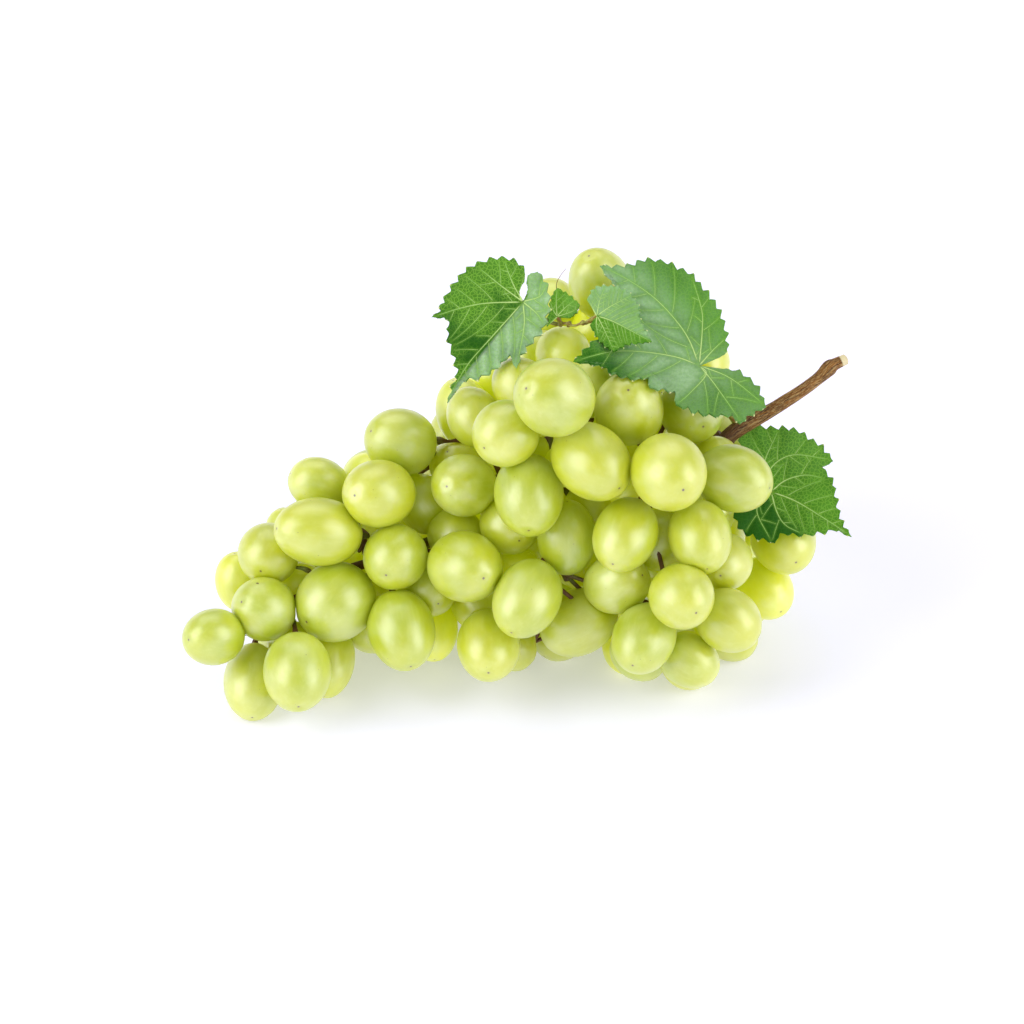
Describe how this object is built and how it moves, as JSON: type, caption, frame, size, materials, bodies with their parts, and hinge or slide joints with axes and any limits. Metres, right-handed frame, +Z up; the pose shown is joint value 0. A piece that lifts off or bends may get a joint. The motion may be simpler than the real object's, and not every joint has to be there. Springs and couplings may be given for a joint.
{
  "type": "bunch of grapes",
  "caption": "Bunch of white table grapes lying on its side, with a short cutting of its cane and vine leaves along the top.",
  "frame": {"origin": "centre of the footprint of the whole cutting, on the surface that it lies on", "axes": "+X along the bunch from its tail towards the cut end of the cane, +Y away from the side that is seen, +Z up"},
  "size_m": [0.1996, 0.131, 0.1203],
  "materials": {
    "grape": "translucent yellow-green skin with a thin pale bloom, small dark specks and a brown scar at each tip",
    "bark": "reddish-brown bark, finely grooved along its length, dull",
    "leaf": "deep green with paler veins, slightly glossy above and duller below"
  },
  "bodies": {
    "root": {"bunch": "grape", "cane": "bark", "leaf_left": "leaf", "leaf_small_left": "leaf", "leaf_small_right": "leaf", "leaf_large": "leaf", "leaf_right": "leaf"}
  },
  "joints": []
}
